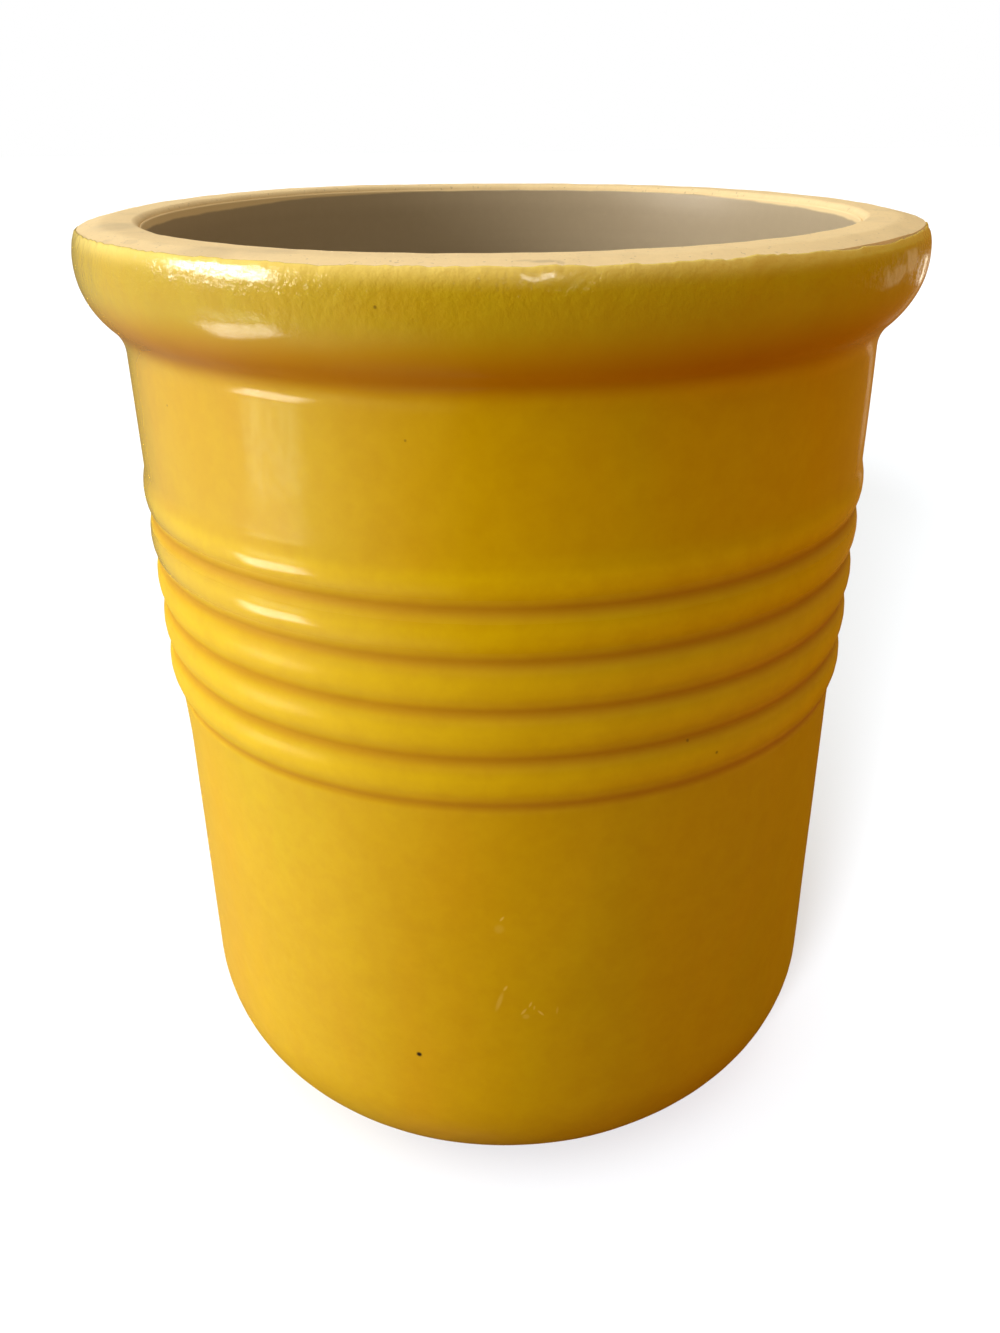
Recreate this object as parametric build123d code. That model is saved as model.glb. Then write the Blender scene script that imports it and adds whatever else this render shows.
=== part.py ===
from build123d import *
from collections import namedtuple
from math import asin, atan2, cos, degrees, radians, sin, sqrt
import os

# A stoneware utensil crock: one thrown clay body, a yellow glaze coat outside and a grey liner glaze inside.
# Everything is round about the Z axis. The foot stands on Z = 0. Sizes are in millimetres.

# Height and wall of the clay body
crock_height = 178.0
wall_radius = 69.0
wall_thickness = 4.5
lower_wall_step = 1.1
lower_wall_radius = wall_radius - lower_wall_step
bore_radius = wall_radius - wall_thickness

# Rolled rim and its bare land
rim_overhang = 6.7
rim_roll_radius = 13.5
rim_widest_drop = 6.0
rim_edge_drop = 0.9
lip_round = 1.4
land_width = 4.0

# Floor
floor_height = 6.0
inner_corner_radius = 9.0

# Raised bands round the wall
band_count = 5
band_pitch = 8.85
band_depth = 1.15
band_sink = 0.45
bands_bottom_height = 91.6

# Rounded base and foot
base_corner_radius = 26.0
foot_cut = 2.3
foot_ring_width = 8.0
foot_recess_depth = 1.5

# Glaze coats
glaze_thickness = 0.5
glaze_foot_gap = 1.8
liner_thickness = 0.4

# Flat facets that each round stretch of the section is drawn with
rim_facets = 4
band_facets = 3
base_corner_facets = 3
inner_corner_facets = 1
lip_facets = 2
shortest_facet = 0.001

# The section is drawn in radius and height, clockwise with the clay on the right hand. It is a belt round a
# row of rolls: a roll with a positive radius has clay inside it, one with a negative radius is a hollow cove,
# and one with no radius is a sharp corner. The belt's direction is given by the angle of its outward normal.
Roll = namedtuple("Roll", "r z radius facets", defaults=(0, 0))


def surface_point(roll, angle):
    """Gives the point of a roll's surface whose normal stands at an angle above the outward horizontal."""
    return Vector(roll.r + roll.radius * cos(radians(angle)), roll.z + roll.radius * sin(radians(angle)))


def shared_angle(first, second):
    """Gives the normal's angle on the straight stretch that leaves one roll and meets the next."""
    run = Vector(second.r - first.r, second.z - first.z)
    rise = first.radius - second.radius
    along = sqrt(max(run.length**2 - rise**2, 0))
    return degrees(atan2(run.Y * rise + run.X * along, run.X * rise - run.Y * along))


def belt(rolls, first_angle=None, last_angle=None):
    """Gives the corners of the belt, with part of the first and last rolls where an angle is given."""
    joins = [shared_angle(a, b) for a, b in zip(rolls, rolls[1:])]
    arrivals = [joins[0] if first_angle is None else first_angle] + joins
    departures = joins + [joins[-1] if last_angle is None else last_angle]
    points = []
    for roll, arrive, leave in zip(rolls, arrivals, departures):
        turn = (leave - arrive + 180) % 360 - 180
        for facet in range(roll.facets + 1):
            point = surface_point(roll, arrive + turn * facet / max(roll.facets, 1))
            if not points or (point - points[-1]).length > shortest_facet:
                points.append(point)
    return points


def corner_on_wall(roll, wall, side):
    """Gives the sharp corner where a bulging roll meets an upright wall, above its middle (1) or below (-1)."""
    return Roll(wall, roll.z + side * sqrt(roll.radius**2 - (wall - roll.r) ** 2))


# Rim: its widest point lies below the land, and the glaze starts at its upper corner
rim_centre_r = wall_radius + rim_overhang - rim_roll_radius
rim_corner_angle = degrees(asin((rim_widest_drop - rim_edge_drop) / rim_roll_radius))


def rim_rolls(coat):
    roll = Roll(rim_centre_r, crock_height - rim_widest_drop, rim_roll_radius + coat, rim_facets)
    return [roll, corner_on_wall(roll, wall_radius + coat, -1)]


# Bands: equal bulges along a line that leans in from the upper wall to the lower wall
bands_length = band_count * band_pitch
bands_top_height = bands_bottom_height + bands_length
band_bulge_radius = ((band_pitch / 2) ** 2 + band_depth**2) / (2 * band_depth)


def band_rolls(coat):
    line_top = Vector(wall_radius - band_sink, bands_top_height)
    line = Vector(lower_wall_radius, bands_bottom_height) - line_top
    step = line / band_count
    out = Vector(-line.Y, line.X).normalized()
    bulge = band_bulge_radius + coat
    groove_reach = sqrt(bulge**2 - (step.length / 2) ** 2)
    rolls = []
    for band in range(band_count):
        centre = line_top + step * (band + 1 / 2) - out * (band_bulge_radius - band_depth)
        if band > 0:
            groove = centre - step / 2 + out * groove_reach
            rolls.append(Roll(groove.X, groove.Y))
        rolls.append(Roll(centre.X, centre.Y, bulge, band_facets))
    above = corner_on_wall(rolls[0], wall_radius + coat, 1)
    below = corner_on_wall(rolls[-1], lower_wall_radius + coat, -1)
    return [above] + rolls + [below]


# Under the bands the coat's seat is plain: it steps in to the lower wall behind the first band
def band_seat_rolls():
    seat_height = bands_top_height - band_pitch / 2
    return [Roll(wall_radius, seat_height), Roll(lower_wall_radius, seat_height)]


# Base: a round corner, cut off level by the foot
base_corner_height = base_corner_radius - foot_cut
glaze_end_angle = -degrees(asin((base_corner_height - glaze_foot_gap) / base_corner_radius))


def base_corner(coat):
    radius = base_corner_radius + coat
    return Roll(lower_wall_radius - base_corner_radius, base_corner_height, radius, base_corner_facets)


def glazed_outside(coat, middle_rolls):
    """Gives the outside from the rim's corner to the end of the glaze, for the clay or for the coat over it."""
    rolls = rim_rolls(coat) + middle_rolls + [base_corner(coat)]
    return belt(rolls, rim_corner_angle, glaze_end_angle)


# Inside, from the middle of the floor up the bore to the lip
def inner_rolls(coat):
    corner_r = bore_radius - inner_corner_radius
    corner_z = floor_height + inner_corner_radius
    corner = Roll(corner_r, corner_z, coat - inner_corner_radius, inner_corner_facets)
    lip = Roll(bore_radius + lip_round, crock_height - lip_round, lip_round + coat, lip_facets)
    return [Roll(0, floor_height, coat), corner, lip]


# Foot: a flat ring to stand on and a shallow recess inside it
def foot_points():
    corner = base_corner(0)
    foot_radius = corner.r + sqrt(corner.radius**2 - corner.z**2)
    recess_radius = foot_radius - foot_ring_width
    ring = [(foot_radius, 0), (recess_radius, 0)]
    return ring + [(recess_radius - foot_recess_depth, foot_recess_depth), (0, foot_recess_depth)]


def turned(points):
    """Turns a closed section about the Z axis."""
    return revolve(Plane.XZ * make_face(Polyline(points, close=True)), Axis.Z)


def make_clay_body():
    land_end = Roll(bore_radius + lip_round + land_width, crock_height)
    return turned(belt(inner_rolls(0) + [land_end]) + glazed_outside(0, band_seat_rolls()) + foot_points())


def make_outer_glaze():
    coat = glazed_outside(glaze_thickness, band_rolls(glaze_thickness))
    return turned(coat + glazed_outside(0, band_seat_rolls())[::-1])


def make_liner_glaze():
    return turned(belt(inner_rolls(liner_thickness)) + belt(inner_rolls(0))[::-1])


parts = {
    "clay_body": make_clay_body(),
    "outer_glaze": make_outer_glaze(),
    "liner_glaze": make_liner_glaze(),
}

os.makedirs("parts", exist_ok=True)
for name, solid in parts.items():
    export_step(solid, f"parts/{name}.step")
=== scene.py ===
from collections import namedtuple
from math import asin, atan2, cos, pi, radians, sin, sqrt

import bpy
from bpy.props import FloatProperty, FloatVectorProperty, IntProperty, PointerProperty
from mathutils import Matrix, Vector


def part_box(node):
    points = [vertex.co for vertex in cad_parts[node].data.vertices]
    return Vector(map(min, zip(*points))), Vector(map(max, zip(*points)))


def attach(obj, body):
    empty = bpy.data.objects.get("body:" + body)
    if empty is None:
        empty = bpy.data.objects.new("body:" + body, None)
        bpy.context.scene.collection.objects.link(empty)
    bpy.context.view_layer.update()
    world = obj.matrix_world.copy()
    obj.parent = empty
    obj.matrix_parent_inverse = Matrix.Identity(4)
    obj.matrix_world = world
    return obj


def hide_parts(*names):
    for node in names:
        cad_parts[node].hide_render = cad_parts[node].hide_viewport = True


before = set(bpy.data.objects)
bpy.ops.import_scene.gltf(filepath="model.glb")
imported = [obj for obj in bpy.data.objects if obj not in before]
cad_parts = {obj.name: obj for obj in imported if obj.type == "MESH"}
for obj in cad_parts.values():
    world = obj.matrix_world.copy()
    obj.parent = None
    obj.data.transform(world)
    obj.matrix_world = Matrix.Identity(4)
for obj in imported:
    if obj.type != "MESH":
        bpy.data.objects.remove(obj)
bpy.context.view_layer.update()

# A stoneware utensil crock with a yellow glaze outside, a bare clay land on its rolled rim and a grey liner
# inside. Every piece is a section that is extruded point by point and spun about the Z axis. Lengths are in
# metres. Angles are in radians, apart from those that a comment gives in degrees.

bl_info = {
    "name": "Utensil crock",
    "version": (1, 0, 0),
    "blender": (4, 5, 0),
    "location": "View3D > Sidebar > Crock",
    "description": "Models a glazed stoneware utensil crock on its construction frame",
    "category": "Add Mesh",
}

MM = 0.001
CLAY_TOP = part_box("clay_body")[1].z
GLAZE_EDGE_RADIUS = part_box("outer_glaze")[1].x
BORE_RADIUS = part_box("liner_glaze")[1].x
WALL_THICKNESS = 4.5 * MM


# Sizes and colours that a user would change


def length(name, description, default):
    return FloatProperty(name=name, description=description, default=default, unit="LENGTH", precision=5)


def colour(name, description, default):
    return FloatVectorProperty(
        name=name, description=description, default=default, size=3, min=0, max=1, subtype="COLOR"
    )


class CrockSizes(bpy.types.PropertyGroup):
    """Sizes of the crock's section"""

    height: length("Height", "Foot to the land of the rim", CLAY_TOP)
    wall_radius: length("Wall radius", "Clay radius of the upper wall", BORE_RADIUS + WALL_THICKNESS)
    bore_radius: length("Bore radius", "Clay radius of the inside", BORE_RADIUS)
    lower_wall_step: length("Lower wall step", "How much narrower the lower wall is", 1.1 * MM)
    glaze: length("Glaze", "Thickness of the outer glaze", 0.5 * MM)
    liner: length("Liner", "Thickness of the liner glaze", 0.4 * MM)
    rim_roll: length("Rim roll", "Radius of the rim's roll", 13.5 * MM)
    rim_drop: length("Rim drop", "Land down to the rim's widest point", 6.0 * MM)
    rim_edge_drop: length("Rim edge drop", "Land down to the edge of the glaze", 0.9 * MM)
    neck_cove: length("Neck cove", "Radius of the hollow under the rim", 8.0 * MM)
    lip_round: length("Lip round", "Radius of the inner lip", 1.3 * MM)
    land_width: length("Land width", "Flat part of the land", 4.2 * MM)
    floor_height: length("Floor height", "Foot to the floor inside", 6.0 * MM)
    inner_corner: length("Inner corner", "Radius between floor and bore", 12.0 * MM)
    band_pitch: length("Band pitch", "Height of one band", 8.85 * MM)
    band_depth: length("Band depth", "Crest of a band above its grooves", 1.15 * MM)
    band_sink: length("Band sink", "Grooves below the upper wall", 0.45 * MM)
    bands_bottom: length("Bands bottom", "Foot to the lowest band", 91.6 * MM)
    band_count: IntProperty(name="Bands", description="How many bands run round the wall", default=5, min=1)
    groove_pool: length("Groove pool", "Radius of the glaze that fills a groove", 1.3 * MM)
    base_corner: length("Base corner", "Radius of the rounded base", 26.0 * MM)
    foot_cut: length("Foot cut", "How far the foot cuts into the base corner", 2.3 * MM)
    foot_ring: length("Foot ring", "Width of the ring that it stands on", 8.0 * MM)
    foot_recess: length("Foot recess", "Depth of the recess inside the ring", 1.5 * MM)
    glaze_foot_gap: length("Glaze to foot", "Bare clay between glaze and foot", 1.8 * MM)
    spin_steps: IntProperty(
        name="Steps round", description="Columns of faces round a piece, in thirties", default=660, min=30
    )


class CrockLooks(bpy.types.PropertyGroup):
    """Colours of the crock's finishes"""

    yellow: colour("Yellow", "Glaze on the wall", (0.56, 0.352, 0.0006))
    yellow_rim: colour("Rim yellow", "Glaze on the rim's roll", (0.455, 0.322, 0.007))
    yellow_crest: colour("Crest yellow", "Glaze over the crests of the bands", (0.63, 0.425, 0.0008))
    # Thin glaze over the clay, with painted glints on the beads of its edge; the scuffs take this colour too
    pale_yellow_and_glint: colour("Pale yellow", "Glaze where it is thin, at its upper edge", (0.82, 0.63, 0.15))
    yellow_pooled: colour("Pooled yellow", "Glaze where it lies thick in the grooves", (0.42, 0.20, 0.0004))
    # Partly glaze pooled thick under the rim, partly painted shade from the rim's overhang
    neck_pool_and_shade: colour("Deep yellow", "Glaze where it lies thickest, under the rim", (0.335, 0.106, 0.0004))
    yellow_green: colour("Greener yellow", "Greener clouds in the glaze", (0.52, 0.365, 0.0006))
    yellow_red: colour("Redder yellow", "Redder clouds in the glaze", (0.575, 0.32, 0.0006))
    clay: colour("Clay", "Bare fired clay", (0.77, 0.59, 0.315))
    clay_stain: colour("Clay stain", "Faint stains on the land", (0.42, 0.33, 0.20))
    liner: colour("Liner", "Glaze inside", (0.395, 0.315, 0.205))


class StageLooks(bpy.types.PropertyGroup):
    """Light and camera of the stage"""

    window: FloatProperty(name="Window", description="Power of its light", default=37.0, subtype="POWER")
    ambient: FloatProperty(name="Room light", description="Strength of the room's light", default=1.0, min=0)
    lens: FloatProperty(name="Lens", description="Focal length, 36 mm sensor", default=31.73, unit="CAMERA")


# Section tools

# A section is a belt round a row of rolls, drawn in radius and height with the clay on the right hand. A roll
# with a positive radius has clay inside it, a negative one is a hollow cove, and none is a sharp corner.
Roll = namedtuple("Roll", "r z radius rows", defaults=(0, 0))

# Length of a row of faces on a straight stretch, a length that leaves each stretch in one row, and the
# distance within which two points are one
STRAIGHT_ROW = 6 * MM
UNDIVIDED = 1
TINY = 0.002 * MM

# Rows of faces along each roll: on the surface, and on the hidden seat under the outer glaze
RIM_ROWS, NECK_ROWS, BAND_ROWS, GROOVE_ROWS, BAND_END_ROWS, BASE_ROWS = 30, 8, 6, 4, 4, 14
INNER_CORNER_ROWS, LIP_ROWS, SHOULDER_ROWS, FOOT_ROWS = 12, 10, 6, 4
SEAT_RIM_ROWS, SEAT_NECK_ROWS, SEAT_BASE_ROWS = 5, 2, 4

# Radii of small forms, the angle at which the foot's rounding starts, and how far the glaze's edges bulge
ABOVE_BANDS_COVE = 9 * MM
BELOW_BANDS_COVE = 2.2 * MM
LAND_SHOULDER = 7 * MM
FOOT_ROUND = 0.8 * MM
FOOT_ROUND_START = radians(-50)
EDGE_BEAD = 0.3 * MM


def surface_point(roll, angle):
    """Gives the point of a roll's surface whose normal stands at an angle above the outward horizontal."""
    return Vector((roll.r + roll.radius * cos(angle), 0, roll.z + roll.radius * sin(angle)))


def shared_angle(first, second):
    """Gives the normal's angle on the straight stretch from one roll to the next."""
    run_r, run_z = second.r - first.r, second.z - first.z
    rise = first.radius - second.radius
    along = sqrt(max(run_r**2 + run_z**2 - rise**2, 0))
    return atan2(run_z * rise + run_r * along, run_r * rise - run_z * along)


def belt(rolls, first_angle=None, last_angle=None, straight_row=STRAIGHT_ROW):
    """Gives the belt's points, with part of the first and last rolls where an angle is given.

    A straight stretch is divided into equal rows that are shorter than straight_row.
    """
    joins = [shared_angle(a, b) for a, b in zip(rolls, rolls[1:])]
    arrivals = [joins[0] if first_angle is None else first_angle] + joins
    departures = joins + [joins[-1] if last_angle is None else last_angle]
    points = []
    for roll, arrive, leave in zip(rolls, arrivals, departures):
        turn = (leave - arrive + pi) % (2 * pi) - pi
        for row in range(roll.rows + 1):
            point = surface_point(roll, arrive + turn * row / max(roll.rows, 1))
            if points and (point - points[-1]).length < TINY:
                continue
            if points and row == 0:
                gaps = int((point - points[-1]).length / straight_row)
                points += [points[-1].lerp(point, gap / (gaps + 1)) for gap in range(1, gaps + 1)]
            points.append(point)
    return points


def cove_beside(roll, wall, radius, side, rows):
    """Gives the cove that runs from a bulging roll into an upright wall, above it (1) or below it (-1)."""
    out = wall + radius - roll.r
    return Roll(wall + radius, roll.z + side * sqrt((roll.radius + radius) ** 2 - out**2), -radius, rows)


# The crock's section


def rim_rolls(s, coat):
    """Gives the rim's roll and the cove under it, on the clay (coat 0) or on the glaze."""
    centre_r = GLAZE_EDGE_RADIUS - s.glaze - s.rim_roll
    roll = Roll(centre_r, s.height - s.rim_drop, s.rim_roll + coat, RIM_ROWS)
    return [roll, cove_beside(roll, s.wall_radius + coat, s.neck_cove - coat, -1, NECK_ROWS)]


def rim_edge_angle(s):
    """Gives the angle on the rim's roll at which the glaze starts."""
    return asin((s.rim_drop - s.rim_edge_drop) / s.rim_roll)


def lower_wall_radius(s):
    return s.wall_radius - s.lower_wall_step


def band_rolls(s, coat):
    """Gives equal bulges along a line that leans in from the upper wall to the lower one."""
    lower_wall = lower_wall_radius(s)
    bulge_radius = ((s.band_pitch / 2) ** 2 + s.band_depth**2) / (2 * s.band_depth)
    top = Vector((s.wall_radius - s.band_sink, s.bands_bottom + s.band_count * s.band_pitch))
    step = (Vector((lower_wall, s.bands_bottom)) - top) / s.band_count
    out = Vector((-step.y, step.x)).normalized()
    reach = sqrt((bulge_radius + coat + s.groove_pool) ** 2 - (step.length / 2) ** 2)
    rolls = []
    for band in range(s.band_count):
        centre = top + step * (band + 1 / 2) - out * (bulge_radius - s.band_depth)
        if band > 0:
            groove = centre - step / 2 + out * reach
            rolls.append(Roll(groove.x, groove.y, -s.groove_pool, GROOVE_ROWS))
        rolls.append(Roll(centre.x, centre.y, bulge_radius + coat, BAND_ROWS))
    above = cove_beside(rolls[0], s.wall_radius + coat, ABOVE_BANDS_COVE - coat, 1, BAND_END_ROWS)
    below = cove_beside(rolls[-1], lower_wall + coat, BELOW_BANDS_COVE - coat, -1, BAND_END_ROWS)
    return [above] + rolls + [below]


def base_corner(s, coat):
    centre_r = lower_wall_radius(s) - s.base_corner
    return Roll(centre_r, s.base_corner - s.foot_cut, s.base_corner + coat, BASE_ROWS)


def glaze_end_angle(s):
    """Gives the angle on the base corner at which the glaze ends."""
    return -asin((s.base_corner - s.foot_cut - s.glaze_foot_gap) / s.base_corner)


def seat_points(s):
    """Gives the plain surface under the outer glaze, from the rim's edge to the end of the glaze."""
    rim, neck = rim_rolls(s, 0)
    step_height = s.bands_bottom + (s.band_count - 1 / 2) * s.band_pitch
    rolls = [rim._replace(rows=SEAT_RIM_ROWS), neck._replace(rows=SEAT_NECK_ROWS)]
    rolls += [Roll(s.wall_radius, step_height), Roll(lower_wall_radius(s), step_height)]
    rolls += [base_corner(s, 0)._replace(rows=SEAT_BASE_ROWS)]
    return belt(rolls, rim_edge_angle(s), glaze_end_angle(s), straight_row=UNDIVIDED)


def inner_rolls(s, coat):
    """Gives the inside from the middle of the floor up to the lip, on the clay (coat 0) or on the liner."""
    corner_r, corner_z = s.bore_radius - s.inner_corner, s.floor_height + s.inner_corner
    corner = Roll(corner_r, corner_z, coat - s.inner_corner, INNER_CORNER_ROWS)
    lip = Roll(s.bore_radius + s.lip_round, s.height - s.lip_round, s.lip_round + coat, LIP_ROWS)
    return [Roll(0, s.floor_height, coat), corner, lip]


def rounded_end(start, end, bulge, rows=4):
    """Gives the points between start and end on a bead that bulges out by the given vector."""
    middle = (start + end) / 2
    side = (start - end) / 2
    angles = [pi * row / rows for row in range(1, rows)]
    return [middle + side * cos(angle) + bulge * sin(angle) for angle in angles]


# Modelling tools

# A piece is spun as one sector, which is then spun again as copies: two quick spins in place of a long one
SECTORS = 30
SHARP_ANGLE = radians(50)


def deselect_all():
    if bpy.context.object and bpy.context.object.mode != "OBJECT":
        bpy.ops.object.mode_set(mode="OBJECT")
    bpy.ops.object.select_all(action="DESELECT")


def spun_piece(name, points, steps):
    """Extrudes a closed section from point to point, spins it about Z and closes the seam."""
    deselect_all()
    bpy.ops.mesh.primitive_plane_add(size=MM, location=(0, 0, 0))
    piece = bpy.context.object
    piece.name = piece.data.name = name
    bpy.ops.object.mode_set(mode="EDIT")
    bpy.ops.mesh.select_all(action="SELECT")
    bpy.ops.mesh.merge(type="CENTER")
    bpy.ops.transform.translate(value=points[0])
    for before, after in zip(points, points[1:] + points[:1]):
        bpy.ops.mesh.extrude_region_move(TRANSFORM_OT_translate={"value": after - before})
    bpy.ops.mesh.select_all(action="SELECT")
    bpy.ops.mesh.remove_doubles(threshold=TINY)
    around = {"center": (0, 0, 0), "axis": (0, 0, 1)}
    bpy.ops.mesh.spin(steps=steps // SECTORS, angle=2 * pi / SECTORS, **around)
    bpy.ops.mesh.select_all(action="SELECT")
    rest = 2 * pi * (SECTORS - 1) / SECTORS
    bpy.ops.mesh.spin(steps=SECTORS - 1, dupli=True, angle=rest, **around)
    bpy.ops.mesh.select_all(action="SELECT")
    bpy.ops.mesh.remove_doubles(threshold=TINY)
    bpy.ops.mesh.normals_make_consistent(inside=False)
    bpy.ops.object.mode_set(mode="OBJECT")
    return piece


def uneven(piece, name, size, strength, weigh, direction="NORMAL"):
    """Moves the vertices by strength times weigh(place): up and down by soft noise of a size, or all one way
    where the size is None."""
    group = piece.vertex_groups.new(name=name)
    for vertex in piece.data.vertices:
        weight = weigh(vertex.co)
        if weight > 0:
            group.add([vertex.index], weight, "REPLACE")
    modifier = piece.modifiers.new(name, "DISPLACE")
    modifier.vertex_group = name
    modifier.direction = direction
    modifier.strength = strength
    modifier.mid_level = 0
    if size:
        texture = bpy.data.textures.new(name, type="CLOUDS")
        texture.noise_scale = size
        texture.noise_depth = 1
        modifier.texture = texture
        modifier.texture_coords = "LOCAL"
        modifier.mid_level = 0.5
    bpy.ops.object.modifier_apply(modifier=name)
    piece.vertex_groups.remove(piece.vertex_groups[name])


def warp(piece, s):
    """Lowers the rim a little at one side and flattens the lower wall a little at another, as kilns do."""
    low_side = Vector((0.64, 0.77))
    into_rim = s.height - 22 * MM, s.height - 8 * MM
    into_bands = 78 * MM, 98 * MM

    def sag(place):
        side = place.xy.dot(low_side) / s.wall_radius
        return ramp(side, 0.1, 0.95) * ramp(place.z, *into_rim)

    def flat(place):
        side = -place.x / s.wall_radius
        return ramp(side, 0.2, 0.95) * (1 - ramp(place.z, *into_bands))

    uneven(piece, "sag", None, -0.75 * MM, sag, "Z")
    uneven(piece, "flat", None, 0.8 * MM, flat, "X")


def rising(low, high):
    """Gives a weight that rises with the height of a place, from 0 at low to 1 at high."""
    return lambda place: ramp(place.z, low, high)


def ramp(value, low, high):
    """Gives 0 below low, 1 above high and a soft rise between."""
    share = min(max((value - low) / (high - low), 0), 1)
    return share * share * (3 - 2 * share)


def finish_piece(piece, s, node, material):
    """Warps and smooths a piece, gives it its material, hides the imported part of its node and attaches it
    to the root body.
    """
    warp(piece, s)
    bpy.ops.object.shade_smooth_by_angle(angle=SHARP_ANGLE)
    piece.data.materials.append(material)
    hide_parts(node)
    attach(piece, "root")


# Material tools


class Nodes:
    """Builds a node tree. A value that is fed to a socket is a number, a vector or another node's output."""

    def __init__(self, tree):
        self.tree = tree

    def add(self, kind, *inputs, **settings):
        node = self.tree.nodes.new(kind)
        for key, value in settings.items():
            setattr(node, key, value)
        for socket, value in zip(node.inputs, inputs):
            self.feed(socket, value)
        return node

    def feed(self, socket, value):
        if isinstance(value, bpy.types.NodeSocket):
            self.tree.links.new(value, socket)
        else:
            socket.default_value = value

    def feed_all(self, node, values):
        """Feeds inputs of a node by name."""
        for name, value in values.items():
            self.feed(node.inputs[name], value)

    def math(self, operation, *values, clamp=False):
        return self.add("ShaderNodeMath", *values, operation=operation, use_clamp=clamp).outputs[0]

    def times(self, first, second):
        return self.math("MULTIPLY", first, second)

    def band(self, value, low, high, start=0.0, end=1.0):
        """Maps a value from low..high to start..end with a soft S curve."""
        numbers = (value, low, high, start, end)
        return self.add("ShaderNodeMapRange", *numbers, interpolation_type="SMOOTHSTEP").outputs[0]

    def axes(self, place):
        """Gives the X, Y and Z of a place."""
        return self.add("ShaderNodeSeparateXYZ", place).outputs


class PieceNodes(Nodes):
    """Builds the procedural material of a piece."""

    def __init__(self, name):
        self.material = bpy.data.materials.new(name)
        self.material.use_nodes = True
        super().__init__(self.material.node_tree)
        self.shader = self.tree.nodes["Principled BSDF"]
        self.coordinates = self.add("ShaderNodeTexCoord").outputs["Object"]

    def noise(self, scale, detail, roughness, stretch=(1, 1, 1)):
        place = self.add("ShaderNodeMapping", self.coordinates, (0, 0, 0), (0, 0, 0), stretch).outputs[0]
        node = self.add("ShaderNodeTexNoise", place)
        self.feed_all(node, {"Scale": scale, "Detail": detail, "Roughness": roughness})
        return node.outputs["Fac"]

    def mix(self, share, first, second):
        """Mixes two colours, each (red, green, blue) or another node's output."""
        node = self.add("ShaderNodeMix", data_type="RGBA", blend_type="MIX", clamp_factor=True)
        self.feed(node.inputs["Factor"], share)
        for name, value in (("A", first), ("B", second)):
            self.feed(node.inputs[name], value if isinstance(value, bpy.types.NodeSocket) else (*value, 1))
        return node.outputs["Result"]

    def streak(self, centre, half_sizes, turn):
        """Gives 1 inside a small stretched and turned spot of the surface and 0 outside it."""
        spot = (self.coordinates, centre, turn, half_sizes)
        place = self.add("ShaderNodeMapping", *spot, vector_type="TEXTURE").outputs[0]
        length = self.add("ShaderNodeVectorMath", place, operation="LENGTH").outputs["Value"]
        return self.band(length, SPOT_CORE, 1.0, 1.0, 0.0)

    def bump(self, layers):
        """Chains bumps, each (height, strength, distance), and feeds the shader's normal."""
        normal = None
        for height, strength, distance in layers:
            node = self.add("ShaderNodeBump")
            self.feed_all(node, {"Strength": strength, "Distance": distance, "Height": height})
            if normal is not None:
                self.feed(node.inputs["Normal"], normal)
            normal = node.outputs[0]
        self.feed(self.shader.inputs["Normal"], normal)


# Pinholes and pits in the glaze: place and radius in millimetres, share and colour
GLAZE_PITS = (
    ((-16.5, -65.9, 35.3), 0.52, 1.0, (0.02, 0.008, 0.003)),
    ((-16.4, -74.4, 172.5), 0.24, 0.6, (0.10, 0.05, 0.004)),
    ((-53.7, -43.9, 152.6), 0.2, 0.6, (0.12, 0.06, 0.004)),
    ((-13.8, -68.1, 153.1), 0.2, 0.5, (0.12, 0.06, 0.004)),
    ((30.5, -61.8, 100.0), 0.28, 0.6, (0.10, 0.05, 0.004)),
    ((36.0, -59.7, 96.4), 0.28, 0.6, (0.10, 0.05, 0.004)),
)
# Faint scuffs that use left on the glaze: place, half width and half length in millimetres, lean to the
# right in degrees, and share
GLAZE_SCUFFS = (
    ((-0.8, -67.9, 68.4), 0.3, 0.8, 35, 0.34),
    ((-1.3, -67.9, 66.2), 1.2, 1.3, 0, 0.10),
    ((-0.3, -67.9, 52.9), 0.35, 0.9, 30, 0.32),
    ((-1.4, -67.9, 49.8), 0.6, 3.0, 16, 0.17),
    ((4.2, -67.9, 49.0), 0.28, 0.9, 22, 0.34),
    ((3.0, -67.9, 47.4), 0.35, 1.1, 35, 0.32),
    ((3.4, -67.9, 46.2), 0.9, 0.8, 0, 0.15),
    ((6.1, -67.8, 46.9), 0.3, 1.1, -42, 0.32),
    ((4.9, -67.9, 48.2), 0.25, 0.7, 8, 0.22),
    ((9.1, -67.5, 47.2), 0.3, 1.2, 6, 0.14),
)
# Stains and smears on the bare land: place, half sizes along and across the rim in millimetres, turn in
# degrees, and share
LAND_STAINS = (
    ((5.6, -72.0, 178.0), 2.6, 0.7, 4, 0.62),
    ((2.9, -71.8, 178.0), 1.6, 0.45, 10, 0.4),
    ((7.7, -72.4, 178.0), 0.8, 0.9, 30, 0.45),
    ((-55.4, -46.3, 178.0), 2.6, 1.5, -50, 0.42),
    ((-60.4, -42.0, 178.0), 2.0, 1.3, -55, 0.36),
    ((-49.8, -50.5, 178.0), 3.0, 1.0, -45, 0.3),
    ((-63.5, -27.0, 178.0), 9.0, 5.5, -68, 0.42),
    ((-41.5, -59.5, 178.0), 7.0, 5.0, -34, 0.36),
)
# Half depth in millimetres of the spots that paint a mark on the surface, and the share of a spot that is
# full. The rest fades, so pits are drawn larger and scuffs stronger by the gain.
SPOT_DEPTH = 3
SPOT_CORE = 0.35
SPOT_GAIN = 1.4


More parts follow.
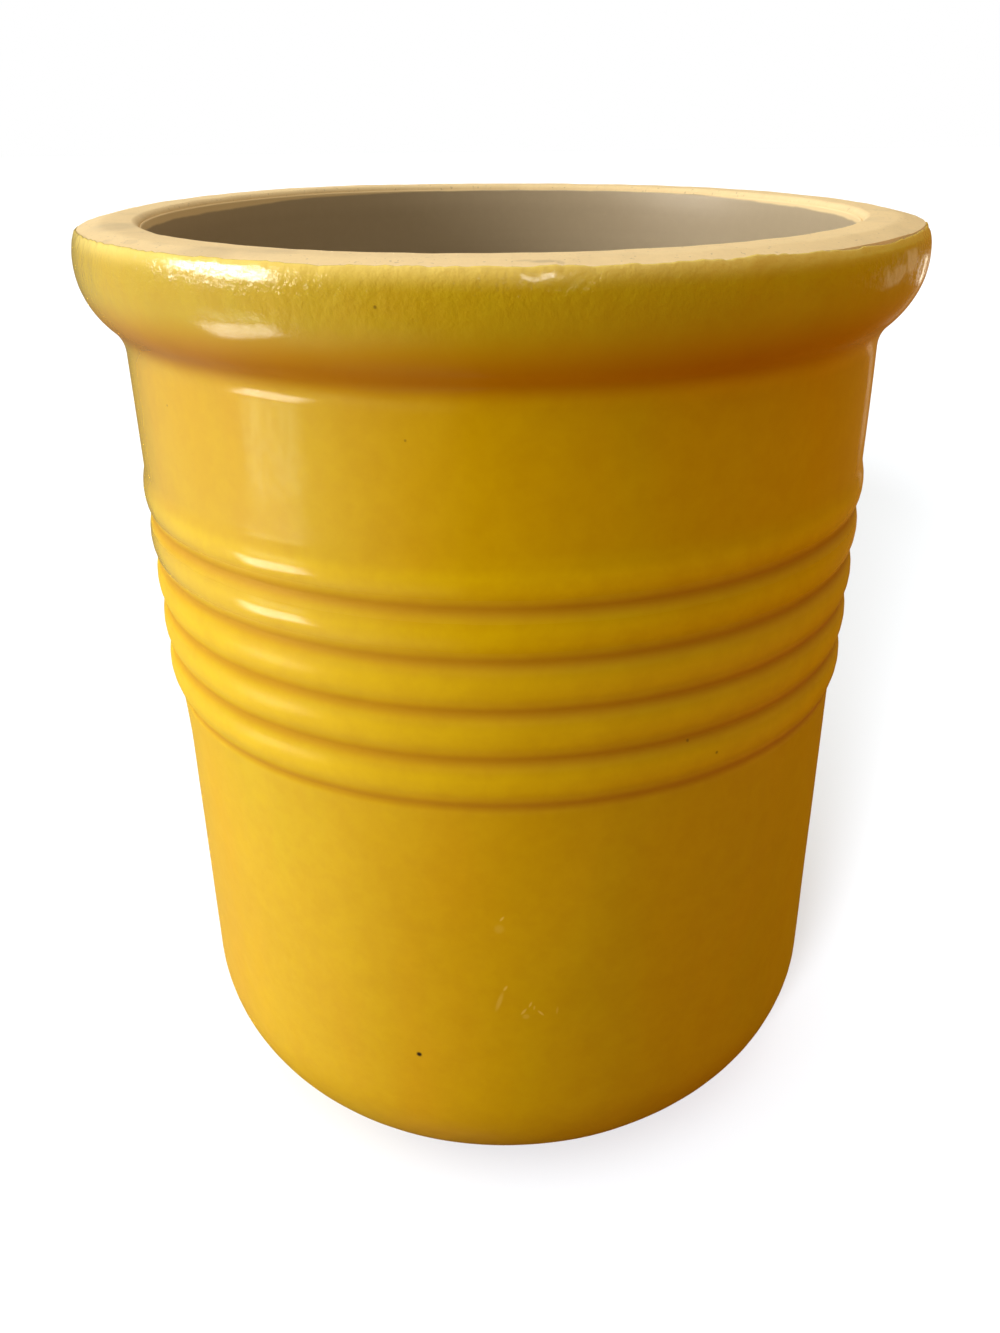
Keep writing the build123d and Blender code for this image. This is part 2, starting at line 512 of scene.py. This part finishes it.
def band_shares(nodes, s, z):
    """Gives 1 in the grooves, 1 in and close beside them, and 1 on the crests of the bands."""
    rows = nodes.math("DIVIDE", nodes.math("SUBTRACT", z, s.bands_bottom), s.band_pitch)
    near = nodes.math("ABSOLUTE", nodes.math("SUBTRACT", rows, nodes.math("ROUND", rows)))
    under_top = nodes.math("LESS_THAN", rows, s.band_count)
    banded = nodes.times(nodes.math("GREATER_THAN", rows, 0.0), under_top)
    under_first = nodes.math("LESS_THAN", rows, s.band_count - 0.5)
    grooved = nodes.times(nodes.band(rows, -0.3, -0.1), under_first)
    groove = nodes.times(nodes.band(near, 0.02, 0.2, 1.0, 0.0), grooved)
    hollow = nodes.times(nodes.band(near, 0.12, 0.3, 1.0, 0.0), grooved)
    crest = nodes.times(nodes.band(near, 0.15, 0.42), banded)
    return groove, hollow, crest


def yellow_glaze_material(s, looks):
    nodes = PieceNodes("yellow_glaze")
    z = nodes.axes(nodes.coordinates)["Z"]
    mottle = nodes.noise(45, 4, 0.6)
    clouds = nodes.noise(22, 3, 0.55, stretch=(1, 1, 0.35))
    cells = nodes.noise(190, 3, 0.6)
    grain = nodes.noise(420, 3, 0.65)
    body = nodes.mix(nodes.band(clouds, 0.5, 0.7, 0.0, 0.75), looks.yellow, looks.yellow_green)
    body = nodes.mix(nodes.band(clouds, 0.3, 0.5, 0.75, 0.0), body, looks.yellow_red)
    on_rim = nodes.band(z, s.height - 17 * MM, s.height - 8 * MM)
    on_rim = nodes.times(on_rim, nodes.band(clouds, 0.3, 0.6, 0.75, 1.0))
    body = nodes.mix(on_rim, body, looks.yellow_rim)
    # The glaze breaks paler over the crests of the bands and pools darker in the grooves and under the rim,
    # where the darker colour also holds painted shade from the rim's overhang
    groove, hollow, crest = band_shares(nodes, s, z)
    body = nodes.mix(crest, body, looks.yellow_crest)
    body = nodes.mix(nodes.band(mottle, 0.45, 0.8, 0.0, 0.3), body, looks.yellow_crest)
    # The band under the rim: pooled glaze, darkened further by painted shade from the rim above
    low, middle, high = s.height - 20 * MM, s.height - 16 * MM, s.height - 7.5 * MM
    neck = nodes.times(nodes.band(z, low, middle), nodes.band(z, middle, high, 1.0, 0.0))
    body = nodes.mix(nodes.times(groove, 0.75), body, looks.yellow_pooled)
    body = nodes.mix(nodes.times(neck, 0.8), body, looks.neck_pool_and_shade)
    body = nodes.mix(nodes.band(cells, 0.35, 0.7, 0.0, 0.12), body, looks.yellow_pooled)
    body = nodes.mix(nodes.band(grain, 0.35, 0.65, 0.0, 0.08), body, looks.yellow_pooled)
    # Towards its upper edge it thins out over the pale clay, and the paler colour there is also a painted
    # highlight: glints of light on the beads of its edge
    # The thin share below is also a painted highlight on the edge's beads
    thin = nodes.band(z, s.height - 4.6 * MM, s.height - 0.4 * MM)
    thin = nodes.times(nodes.math("POWER", thin, 2.1), nodes.band(mottle, 0.3, 0.7, 0.7, 1.0))
    body = nodes.mix(thin, body, looks.pale_yellow_and_glint)
    for place, radius, share, tint in GLAZE_PITS:
        half_sizes = Vector((SPOT_GAIN * radius, SPOT_DEPTH, SPOT_GAIN * radius)) * MM
        mark = nodes.streak(Vector(place) * MM, half_sizes, (0, 0, atan2(place[0], -place[1])))
        body = nodes.mix(nodes.times(mark, share), body, tint)
    for place, across, along, lean, share in GLAZE_SCUFFS:
        half_sizes = Vector((across, SPOT_DEPTH, along)) * MM
        mark = nodes.streak(Vector(place) * MM, half_sizes, (0, radians(lean), 0))
        body = nodes.mix(nodes.times(mark, SPOT_GAIN * share), body, looks.pale_yellow_and_glint)
    # It is duller below the second band, where it lies thinner, and in the grooves and under the rim
    dull = nodes.band(z, s.bands_bottom + 24 * MM, s.bands_bottom + 28 * MM, 1.0, 0.0)
    rough = nodes.math("MULTIPLY_ADD", hollow, 0.35, nodes.band(mottle, 0.3, 0.7, 0.12, 0.2))
    rough = nodes.math("MULTIPLY_ADD", dull, 0.2, rough)
    sunk = nodes.math("MAXIMUM", hollow, neck)
    coat = nodes.math("MULTIPLY_ADD", dull, -0.48, 0.5)
    coat = nodes.times(coat, nodes.math("MULTIPLY_ADD", sunk, -0.95, 1.0))
    glaze = {"Base Color": body, "Roughness": rough, "IOR": 1.5, "Specular IOR Level": 0.25}
    nodes.feed_all(nodes.shader, glaze)
    nodes.feed_all(nodes.shader, {"Coat Weight": coat, "Coat Roughness": 0.06})
    # Its fine relief is strongest on the rim
    low, high = s.height - 12 * MM, s.height - 4 * MM
    crinkles = nodes.times(nodes.noise(850, 3, 0.6), nodes.band(z, low, high, 0.05, 1.0))
    wrinkles = nodes.times(nodes.noise(330, 2, 0.5), nodes.band(z, low, high, 0.15, 1.0))
    ripples = nodes.noise(115, 2, 0.5)
    nodes.bump([(ripples, 0.6, 0.24 * MM), (wrinkles, 0.6, 0.15 * MM), (crinkles, 0.9, 0.19 * MM)])
    return nodes.material


def bare_clay_material(looks):
    nodes = PieceNodes("bare_clay")
    grain = nodes.noise(900, 4, 0.7)
    cloud = nodes.noise(60, 4, 0.6)
    specks = nodes.noise(1500, 1, 0.4)
    body = nodes.mix(nodes.band(grain, 0.3, 0.7, 0.0, 0.25), looks.clay, [c * 0.8 for c in looks.clay])
    body = nodes.mix(nodes.band(cloud, 0.5, 0.8, 0.0, 0.35), body, looks.clay_stain)
    body = nodes.mix(nodes.band(specks, 0.68, 0.74, 0.0, 0.6), body, looks.clay_stain)
    for place, along, across, turn, share in LAND_STAINS:
        half_sizes = Vector((along, across, SPOT_DEPTH)) * MM
        mark = nodes.streak(Vector(place) * MM, half_sizes, (0, 0, radians(turn)))
        mark = nodes.times(mark, nodes.band(cloud, 0.3, 0.6, 0.5 * share, share))
        body = nodes.mix(mark, body, looks.clay_stain)
    nodes.feed_all(nodes.shader, {"Base Color": body, "Roughness": 0.72})
    nodes.bump([(grain, 0.3, 0.08 * MM)])
    return nodes.material


def grey_liner_material(s, looks):
    nodes = PieceNodes("grey_liner_glaze")
    x, _, z = nodes.axes(nodes.coordinates)
    rings = nodes.noise(60, 2, 0.5, stretch=(0.15, 0.15, 6))
    grain = nodes.noise(500, 3, 0.6)
    darker, paler = ([c * share for c in looks.liner] for share in (0.75, 1.15))
    body = nodes.mix(nodes.band(rings, 0.4, 0.65, 0.0, 0.12), looks.liner, darker)
    body = nodes.mix(nodes.band(grain, 0.4, 0.7, 0.0, 0.15), body, paler)
    # It thins out to nothing on the lip, where the clay shows, a little lower at the left and the right
    uneven_z = nodes.math("MULTIPLY_ADD", nodes.noise(90, 3, 0.6), 0.8 * MM, z)
    sideways = nodes.band(nodes.math("ABSOLUTE", x), 38 * MM, 62 * MM, 0.0, 0.7 * MM)
    uneven_z = nodes.math("ADD", uneven_z, sideways)
    lip = nodes.band(uneven_z, s.height - 1.6 * MM, s.height - 1.1 * MM)
    body = nodes.mix(lip, body, looks.clay)
    rough = nodes.math("MULTIPLY_ADD", lip, 0.25, 0.42)
    nodes.feed_all(nodes.shader, {"Base Color": body, "Roughness": rough})
    nodes.bump([(rings, 0.15, 0.1 * MM), (grain, 0.15, 0.04 * MM)])
    return nodes.material


# Operators


class CROCK_OT_clay_body(bpy.types.Operator):
    """Models the fired clay with its bare land, lip and foot"""

    bl_idname = "crock.clay_body"
    bl_label = "Clay body"

    def execute(self, context):
        s, looks = context.scene.crock_sizes, context.scene.crock_looks
        lip = inner_rolls(s, 0)
        edge = surface_point(rim_rolls(s, 0)[0], rim_edge_angle(s))
        land_end = s.bore_radius + s.lip_round + s.land_width
        shoulder = Roll(land_end, s.height - LAND_SHOULDER, LAND_SHOULDER, SHOULDER_ROWS)
        inside = belt(lip + [shoulder, Roll(edge.x, edge.z)], straight_row=UNDIVIDED)
        corner = base_corner(s, 0)
        foot_r = corner.r + sqrt(corner.radius**2 - corner.z**2)
        foot_round = Roll(foot_r - FOOT_ROUND / 2, FOOT_ROUND, FOOT_ROUND, FOOT_ROWS)
        ring_r, recess = foot_r - s.foot_ring, s.foot_recess
        foot = [foot_round, Roll(ring_r, 0), Roll(ring_r - recess, recess), Roll(0, recess)]
        points = inside[:-1] + seat_points(s) + belt(foot, FOOT_ROUND_START)
        piece = spun_piece("clay_body_fired", points, s.spin_steps)
        uneven(piece, "land", 7 * MM, 0.2 * MM, rising(s.height - 2 * MM, s.height - 1 * MM), "Z")
        finish_piece(piece, s, "clay_body", bare_clay_material(looks))
        return {"FINISHED"}


class CROCK_OT_outer_glaze(bpy.types.Operator):
    """Models the yellow glaze over the rim, the bands and the base"""

    bl_idname = "crock.outer_glaze"
    bl_label = "Outer glaze"

    def execute(self, context):
        s, looks = context.scene.crock_sizes, context.scene.crock_looks
        start, end = rim_edge_angle(s), glaze_end_angle(s)
        coat = belt(rim_rolls(s, s.glaze) + band_rolls(s, s.glaze) + [base_corner(s, s.glaze)], start, end)
        seat = seat_points(s)
        upward = Vector((-sin(start), 0, cos(start))) * EDGE_BEAD
        downward = Vector((sin(end), 0, -cos(end))) * EDGE_BEAD
        bead = rounded_end(seat[0], coat[0], upward, 5)
        points = bead + coat + rounded_end(coat[-1], seat[-1], downward) + seat[::-1]
        piece = spun_piece("outer_glaze_yellow", points, s.spin_steps)
        top = s.height - s.rim_edge_drop

        def far_edge(place):
            side = max(ramp(place.y, -42 * MM, 0), ramp(place.x, 34 * MM, 54 * MM))
            return ramp(place.z, top - 1.6 * MM, top) * side

        def outside(place):
            return 1 if place.xy.length > s.wall_radius * 0.6 else 0

        uneven(piece, "edge", 1.3 * MM, 0.4 * MM, rising(top - 1.2 * MM, top), "Z")
        uneven(piece, "drips", 5 * MM, 0.55 * MM, rising(top - 2.5 * MM, top), "Z")
        uneven(piece, "beads", 1.8 * MM, 0.14 * MM, rising(top - 1.6 * MM, top - 0.4 * MM))
        uneven(piece, "back", None, -0.7 * MM, far_edge, "Z")
        uneven(piece, "crinkle", 3 * MM, 0.12 * MM, rising(s.height - 12 * MM, s.height - 6 * MM))
        uneven(piece, "wobble", 26 * MM, 0.3 * MM, outside)
        finish_piece(piece, s, "outer_glaze", yellow_glaze_material(s, looks))
        return {"FINISHED"}


class CROCK_OT_liner_glaze(bpy.types.Operator):
    """Models the grey liner glaze on the floor and the bore"""

    bl_idname = "crock.liner_glaze"
    bl_label = "Liner glaze"

    def execute(self, context):
        s, looks = context.scene.crock_sizes, context.scene.crock_looks
        coat = belt(inner_rolls(s, s.liner))
        seat = belt(inner_rolls(s, 0), straight_row=UNDIVIDED)
        points = coat + rounded_end(coat[-1], seat[-1], Vector((0, 0, EDGE_BEAD))) + seat[::-1]
        piece = spun_piece("liner_glaze_grey", points, s.spin_steps)
        finish_piece(piece, s, "liner_glaze", grey_liner_material(s, looks))
        return {"FINISHED"}


# Stage

# The camera's place and turn come from a fit to the photograph
CAMERA_PLACE = Vector((0, -231.84, 198.07)) * MM
CAMERA_PITCH = 0.45867
CAMERA_YAW = -0.00412
CAMERA_ROLL = -0.01038
SENSOR_WIDTH = 36

FLOOR_SIZE = 8
FLOOR_DROP = 0.05 * MM
FLOOR_PALE = (0.78, 0.84, 0.94, 1)
FLOOR_OWN_WHITE = 0.36
CARD_RADIUS = 3

DAYLIGHT = (1, 0.98, 0.94)
SILL_SHARE = 0.035
TABLE_POWER = 0.075

PATCH_NOISE = 12

# The floor's sun: azimuth from the camera's side (to the left is negative), height and width in degrees
SUN_AZIMUTH, SUN_HEIGHT, SUN_WIDTH = -25, 19, 15
SUN_STRENGTH = 6.0


def camera_matrix():
    """Gives the camera's place and turn: it looks down along +Y with a slight yaw and roll."""
    right = Vector((cos(CAMERA_YAW), -sin(CAMERA_YAW), 0))
    ahead = Vector((sin(CAMERA_YAW), cos(CAMERA_YAW), 0))
    up = Vector((0, 0, 1))
    look = ahead * cos(CAMERA_PITCH) - up * sin(CAMERA_PITCH)
    over = ahead * sin(CAMERA_PITCH) + up * cos(CAMERA_PITCH)
    side = right * cos(CAMERA_ROLL) + over * sin(CAMERA_ROLL)
    over = over * cos(CAMERA_ROLL) - right * sin(CAMERA_ROLL)
    turn = Matrix((side, over, -look)).transposed().to_4x4()
    return Matrix.Translation(CAMERA_PLACE) @ turn


def add_camera(lens):
    bpy.ops.object.camera_add()
    camera = bpy.context.object
    camera.name = "stage_camera"
    camera.matrix_world = camera_matrix()
    camera.data.lens = lens
    camera.data.sensor_width = SENSOR_WIDTH
    camera.data.sensor_fit = "AUTO"
    camera.data.clip_start = 0.01
    bpy.context.scene.camera = camera


def facing(aim):
    """Gives the turn that makes a lamp or a patch face along aim."""
    return Vector(aim).to_track_quat("-Z", "Y").to_matrix().to_4x4()


def add_lamp(name, place, target, size, power):
    """Adds a rectangular area lamp of daylight that faces its target."""
    bpy.ops.object.light_add(type="AREA")
    lamp = bpy.context.object
    lamp.name = "stage_" + name
    lamp.matrix_world = Matrix.Translation(place) @ facing(Vector(target) - Vector(place))
    lamp.data.shape = "RECTANGLE"
    lamp.data.size, lamp.data.size_y = size
    lamp.data.energy = power
    lamp.data.color = DAYLIGHT
    lamp.visible_camera = False
    return lamp


def add_floor_sun():
    """Adds the soft sun that draws the crock's shadow on the floor."""
    bpy.ops.object.light_add(type="SUN")
    sun = bpy.context.object
    sun.name = "stage_floor_sun"
    azimuth, height = radians(SUN_AZIMUTH), radians(SUN_HEIGHT)
    sun.matrix_world = facing((-sin(azimuth) * cos(height), cos(azimuth) * cos(height), -sin(height)))
    sun.data.angle = radians(SUN_WIDTH)
    sun.data.energy = SUN_STRENGTH
    return sun


def light_by_floor(lamps, floor, state):
    """Lets lamps light the floor alone (INCLUDE) or everything but the floor (EXCLUDE)."""
    group = bpy.data.collections.new("stage_floor_" + state.lower())
    group.objects.link(floor)
    group.collection_objects[0].light_linking.link_state = state
    for lamp in lamps:
        lamp.light_linking.receiver_collection = group


class StageNodes(Nodes):
    """Builds the node tree of the world's light, the floor, the card or a patch."""

    def __init__(self, owner):
        owner.use_nodes = True
        super().__init__(owner.node_tree)
        self.tree.nodes.clear()
        self.places = self.add("ShaderNodeTexCoord").outputs

    def seen_directly(self):
        """Gives 1 to the camera, to reflections and through glass, and 0 to light that bounces."""
        path = self.add("ShaderNodeLightPath").outputs
        seen = self.math("ADD", path["Is Camera Ray"], path["Is Glossy Ray"])
        return self.math("ADD", seen, path["Is Transmission Ray"], clamp=True)

    def by_azimuth(self, place, sides):
        """Gives the colour that the sides have at a place's azimuth, and the place's height."""
        x, y, z = self.axes(place)
        azimuth = self.math("ARCTAN2", x, self.times(y, -1.0))
        turn = self.math("MULTIPLY_ADD", azimuth, 1 / (2 * pi), 0.5)
        brightest = max(max(colour) for _, *colour in sides)
        stops = self.add("ShaderNodeValToRGB", turn)
        elements = stops.color_ramp.elements
        while len(elements) < len(sides):
            elements.new(0.5)
        for element, (side, *colour) in zip(elements, sides):
            element.position = (side + 180) / 360
            element.color = (*(part / brightest for part in colour), 1)
        scaled = self.add("ShaderNodeVectorMath", stops.outputs[0], operation="SCALE")
        self.feed(scaled.inputs["Scale"], brightest)
        return scaled.outputs[0], z

    def mixed(self, share, first, second):
        node = self.add("ShaderNodeMix", data_type="VECTOR")
        self.feed_all(node, {"Factor": share, "A": first, "B": second})
        return node.outputs["Result"]

    def output(self, shader, kind="ShaderNodeOutputMaterial"):
        self.add(kind, shader.outputs[0])


# Light from all round the crock, by azimuth in degrees from the camera's side (to the left is negative): its
# red, green and blue
ROOM_CEILING = (1.45, 1.38, 1.24)
ROOM_SIDES = (
    (-180, 0.80, 0.72, 0.58),
    (-150, 0.85, 0.80, 0.70),
    (-128, 1.25, 1.22, 1.15),
    (-101, 1.75, 1.75, 1.70),
    (-77, 2.00, 2.00, 1.95),
    (-58, 1.60, 1.60, 1.55),
    (-37, 0.80, 0.77, 0.70),
    (-17, 0.36, 0.31, 0.20),
    (3, 0.26, 0.17, 0.05),
    (60, 0.20, 0.122, 0.03),
    (105, 0.275, 0.162, 0.04),
    (150, 0.50, 0.33, 0.15),
    (180, 0.80, 0.72, 0.58),
)
# Light that comes up from below, in the same way
TABLE_SIDES = (
    (-180, 0.45, 0.36, 0.25),
    (-128, 0.70, 0.61, 0.48),
    (-90, 0.89, 0.88, 0.74),
    (-50, 0.74, 0.69, 0.53),
    (-20, 0.42, 0.31, 0.17),
    (0, 0.33, 0.19, 0.08),
    (45, 0.44, 0.205, 0.055),
    (90, 0.64, 0.28, 0.07),
    (128, 0.68, 0.30, 0.08),
    (180, 0.45, 0.36, 0.25),
)
# The card round the crock, which only reflections see, in the same way: above, level, below and the share
# that is left straight below
CARD_CEILING = (0.5, 0.48, 0.45)
CARD_BELOW = 0.22
CARD_SIDES = (
    (-180, 0.28, 0.20, 0.12),
    (-150, 0.26, 0.21, 0.12),
    (-128, 0.45, 0.42, 0.35),
    (-101, 0.70, 0.70, 0.65),
    (-77, 1.10, 1.08, 1.02),
    (-58, 0.80, 0.78, 0.72),
    (-46, 0.52, 0.49, 0.44),
    (-25, 0.16, 0.13, 0.10),
    (-8, 0.03, 0.015, 0.0),
    (60, 0.08, 0.04, 0.0),
    (105, 0.25, 0.11, 0.0),
    (150, 0.42, 0.18, 0.02),
    (180, 0.28, 0.20, 0.12),
)
CARD_LOW_SIDES = (
    (-180, 0.16, 0.10, 0.05),
    (-150, 0.40, 0.33, 0.22),
    (-128, 0.31, 0.29, 0.27),
    (-98, 0.58, 0.57, 0.54),
    (-63, 0.75, 0.74, 0.70),
    (-36, 0.38, 0.36, 0.34),
    (-10, 0.05, 0.03, 0.02),
    (3, 0.01, 0.005, 0.0),
    (60, 0.05, 0.02, 0.0),
    (105, 0.14, 0.06, 0.0),
    (140, 0.34, 0.14, 0.0),
    (180, 0.16, 0.10, 0.05),
)


def floor_material():
    """Pale to the camera with the crock's shadow kept, warm to the light that bounces off it."""
    material = bpy.data.materials.new("stage_floor")
    nodes = StageNodes(material)
    wood = nodes.add("ShaderNodeBsdfDiffuse", nodes.by_azimuth(nodes.places["Object"], TABLE_SIDES)[0])
    pale = nodes.add("ShaderNodeBsdfDiffuse", FLOOR_PALE)
    white = nodes.add("ShaderNodeEmission", (1, 1, 1, 1), 1.0)
    shown = nodes.add("ShaderNodeMixShader", FLOOR_OWN_WHITE, pale.outputs[0], white.outputs[0])
    nodes.output(nodes.add("ShaderNodeMixShader", nodes.seen_directly(), wood.outputs[0], shown.outputs[0]))
    return material


def card_material():
    """What reflections see round the crock: darker the steeper they look down."""
    material = bpy.data.materials.new("stage_card")
    material.cycles.emission_sampling = "NONE"
    nodes = StageNodes(material)
    direction = nodes.add("ShaderNodeVectorMath", nodes.places["Object"], operation="NORMALIZE").outputs[0]
    level, z = nodes.by_azimuth(direction, CARD_SIDES)
    low, _ = nodes.by_azimuth(direction, CARD_LOW_SIDES)
    colour = nodes.mixed(nodes.band(z, -0.5, -0.28), low, level)
    colour = nodes.mixed(nodes.band(z, 0.35, 0.9), colour, CARD_CEILING)
    nodes.output(nodes.add("ShaderNodeEmission", colour, nodes.band(z, -0.85, -0.58, CARD_BELOW, 1.0)))
    return material


def patch_material(name, colour, strength, broken):
    """A soft edged patch of light that is broken up by noise, as uneven glaze breaks up what it reflects."""
    material = bpy.data.materials.new(name)
    material.cycles.emission_sampling = "NONE"
    nodes = StageNodes(material)
    place = nodes.places["Object"]
    x, y, _ = nodes.axes(place)
    soft = nodes.times(*(nodes.band(nodes.math("ABSOLUTE", part), 0.5, 0.27) for part in (x, y)))
    noise = nodes.add("ShaderNodeTexNoise", place)
    nodes.feed(noise.inputs["Scale"], PATCH_NOISE)
    blotch = nodes.band(noise.outputs[0], 0.42, 0.58, 1 - broken, 1.0)
    power = nodes.times(nodes.times(soft, blotch), strength)
    glow = nodes.add("ShaderNodeEmission", (*colour, 1), power)
    clear = nodes.add("ShaderNodeBsdfTransparent")
    nodes.output(nodes.add("ShaderNodeAddShader", clear.outputs[0], glow.outputs[0]))
    return material


# Patches of light that only reflections see: name, place, target and size in metres, colour, strength and
# how broken up they look
PATCHES = (
    ("window", (-2.38, -0.66, 0.92), (0, 0, 0.17), (1.75, 0.62), (1, 1, 1), 42.0, 0.9),
    ("lamp", (0.435, -2.362, 1.335), (0, 0, 0.17), (0.50, 0.22), (1, 1, 0.96), 26.0, 0.75),
    ("table_edge", (-0.235, -0.13, 0.113), (-0.03, -0.06, 0.15), (0.11, 0.007), (0.95, 1, 0.6), 0.6, 0.6),
    ("table_glow", (-0.235, -0.13, 0.090), (-0.03, -0.06, 0.15), (0.105, 0.042), (0.8, 1, 0.6), 2.6, 0.85),
    ("table_gleam", (-0.235, -0.112, 0.037), (-0.03, -0.06, 0.13), (0.13, 0.062), (1, 0.98, 0.85), 8.0, 0.5),
    ("side_oval", (0.234, 0.211, 0.127), (0.068, -0.034, 0.171), (0.036, 0.042), (1, 0.95, 0.75), 2.4, 0.0),
    ("side_high", (0.294, 0.148, 0.154), (0.063, -0.042, 0.173), (0.045, 0.060), (1, 0.84, 0.55), 0.7, 0.2),
    ("side_low", (0.317, 0.099, 0.130), (0.059, -0.048, 0.172), (0.060, 0.060), (1, 0.84, 0.55), 0.8, 0.3),
    ("side_chain", (0.195, 0.176, 0.101), (0.063, -0.029, 0.153), (0.030, 0.070), (1, 0.85, 0.6), 0.45, 0.95),
)


def add_patch(name, place, target, size, colour, strength, broken):
    bpy.ops.mesh.primitive_plane_add(size=1)
    patch = bpy.context.object
    patch.name = "stage_patch_" + name
    turn = facing(Vector(target) - Vector(place))
    patch.matrix_world = Matrix.Translation(place) @ turn @ Matrix.Diagonal((*size, 1, 1))
    patch.data.materials.append(patch_material(patch.name, colour, strength, broken))
    show_to_reflections_only(patch)


def light_room(strength):
    """Lights the crock by direction: white from the left, warm and dim from the right."""
    world = bpy.data.worlds.new("stage_room")
    bpy.context.scene.world = world
    nodes = StageNodes(world)
    sides, z = nodes.by_azimuth(nodes.places["Generated"], ROOM_SIDES)
    colour = nodes.mixed(nodes.band(z, 0.5, 0.95), sides, ROOM_CEILING)
    room = nodes.add("ShaderNodeBackground", colour, strength)
    white = nodes.add("ShaderNodeBackground", (1, 1, 1, 1), 1.0)
    mix = nodes.add("ShaderNodeMixShader", nodes.seen_directly(), room.outputs[0], white.outputs[0])
    nodes.output(mix, "ShaderNodeOutputWorld")


def show_to_reflections_only(card):
    card.visible_camera = card.visible_diffuse = card.visible_shadow = False
    card.visible_transmission = card.visible_volume_scatter = False


class CROCK_OT_stage(bpy.types.Operator):
    """Adds the floor, the world's light, the card, the lamps, the patches and the camera"""

    bl_idname = "crock.stage"
    bl_label = "Stage"

    def execute(self, context):
        stage = context.scene.crock_stage
        deselect_all()
        bpy.ops.mesh.primitive_plane_add(size=FLOOR_SIZE, location=(0, 0, -FLOOR_DROP))
        floor = context.object
        floor.name = "stage_floor"
        floor.data.materials.append(floor_material())
        floor.visible_glossy = False
        light_room(stage.ambient)
        bpy.ops.mesh.primitive_uv_sphere_add(segments=64, ring_count=32, radius=CARD_RADIUS)
        context.object.name = "stage_card_room"
        context.object.data.materials.append(card_material())
        show_to_reflections_only(context.object)
        rim, wall = (0, 0, 0.17), (-0.03, -0.06, 0.13)
        window = add_lamp("window", (-2.42, -0.65, 0.92), rim, (1.46, 0.52), stage.window)
        sill = add_lamp("window_sill", (-2.44, -0.50, 0.44), rim, (0.95, 0.06), stage.window * SILL_SHARE)
        table = add_lamp("table", (-0.235, -0.112, 0.050), wall, (0.124, 0.060), TABLE_POWER)
        # The patches stand in for the reflections of these two
        window.visible_glossy = table.visible_glossy = False
        for patch in PATCHES:
            add_patch(*patch)
        light_by_floor([window, sill, table], floor, "EXCLUDE")
        light_by_floor([add_floor_sun()], floor, "INCLUDE")
        add_camera(stage.lens)
        context.scene.view_settings.view_transform = "Standard"
        return {"FINISHED"}


class CROCK_PT_panel(bpy.types.Panel):
    """Lists the crock's sizes, colours and pieces"""

    bl_idname = "CROCK_PT_panel"
    bl_label = "Utensil crock"
    bl_space_type = "VIEW_3D"
    bl_region_type = "UI"
    bl_category = "Crock"

    def draw(self, context):
        for group in (context.scene.crock_sizes, context.scene.crock_looks, context.scene.crock_stage):
            box = self.layout.box()
            for name in group.bl_rna.properties.keys():
                if name not in ("rna_type", "name"):
                    box.prop(group, name)
        for operator in OPERATORS:
            self.layout.operator(operator.bl_idname)


GROUPS = {"crock_sizes": CrockSizes, "crock_looks": CrockLooks, "crock_stage": StageLooks}
OPERATORS = (CROCK_OT_clay_body, CROCK_OT_outer_glaze, CROCK_OT_liner_glaze, CROCK_OT_stage)


def register():
    for kind in (*GROUPS.values(), *OPERATORS, CROCK_PT_panel):
        bpy.utils.register_class(kind)
    for name, group in GROUPS.items():
        setattr(bpy.types.Scene, name, PointerProperty(type=group))


def unregister():
    for name in GROUPS:
        delattr(bpy.types.Scene, name)
    for kind in (CROCK_PT_panel, *reversed(OPERATORS), *GROUPS.values()):
        bpy.utils.unregister_class(kind)


def main():
    register()
    bpy.ops.crock.clay_body()
    bpy.ops.crock.outer_glaze()
    bpy.ops.crock.liner_glaze()
    bpy.ops.crock.stage()


if __name__ == "__main__":
    main()
